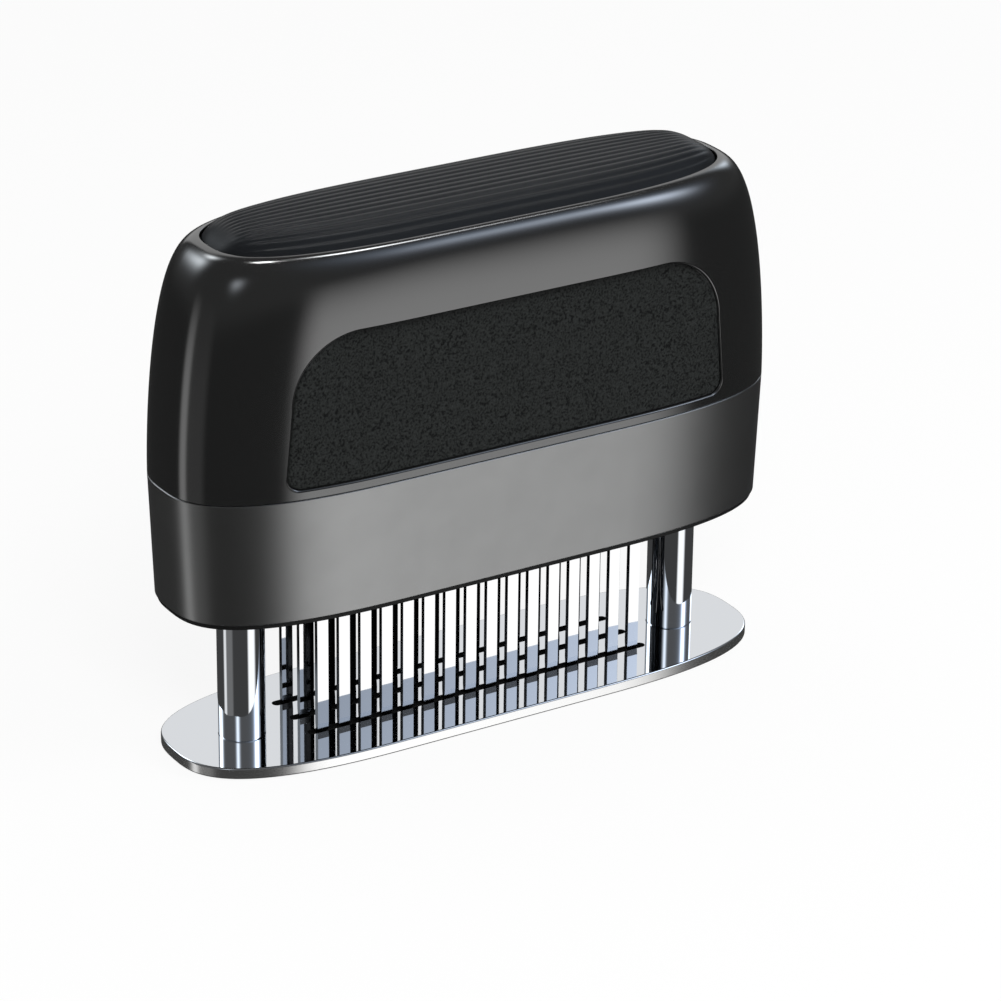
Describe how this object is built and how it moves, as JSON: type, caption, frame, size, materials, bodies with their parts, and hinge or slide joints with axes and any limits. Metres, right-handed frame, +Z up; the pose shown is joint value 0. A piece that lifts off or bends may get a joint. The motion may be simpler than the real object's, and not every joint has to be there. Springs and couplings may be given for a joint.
{
  "type": "blade meat tenderizer",
  "caption": "Hand-held meat tenderizer: a spring-returned handle with rows of flat blades that slides down two posts through a slotted foot plate.",
  "frame": {"origin": "middle of the foot plate's underside", "axes": "+X along the handle, +Y towards its back, +Z up along the posts"},
  "size_m": [0.1444, 0.0428, 0.1174],
  "materials": {
    "polished_steel": "mirror polished stainless",
    "blade_steel": "polished stainless strip",
    "fastener_steel": "plain stainless screws and washers",
    "spring_steel": "spring wire",
    "gloss_black": "gloss black moulded shell",
    "collar_grey": "satin dark grey moulded collar",
    "grip_rubber": "fine grained soft grip",
    "palm_black": "satin black ribbed palm rest",
    "bush_plastic": "natural acetal",
    "block_plastic": "black moulded blade carrier"
  },
  "bodies": {
    "foot": {"foot_plate": "polished_steel", "post_left": "polished_steel", "post_right": "polished_steel", "foot_screws": "fastener_steel", "post_stop_washers": "fastener_steel", "post_top_screws": "fastener_steel", "return_spring_left": "spring_steel", "return_spring_right": "spring_steel"},
    "handle": {"lower_collar": "collar_grey", "upper_shell": "gloss_black", "front_grip": "grip_rubber", "rear_grip": "grip_rubber", "palm_rest": "palm_black", "guide_bush_left": "bush_plastic", "guide_bush_right": "bush_plastic", "spring_cup_left": "bush_plastic", "spring_cup_right": "bush_plastic", "blade_row_front": "blade_steel", "blade_row_middle": "blade_steel", "blade_row_rear": "blade_steel", "blade_block": "block_plastic", "blade_clamp": "fastener_steel", "clamp_screws": "fastener_steel", "housing_screws": "fastener_steel"}
  },
  "joints": [
    {"name": "handle_press", "type": "slide", "parent": "foot", "child": "handle", "axis": [0, 0, -1], "range_m": [0, 0.03], "stiffness_N_per_m": 600, "springref_m": -0.02, "deforming": ["return_spring_left", "return_spring_right"]}
  ]
}
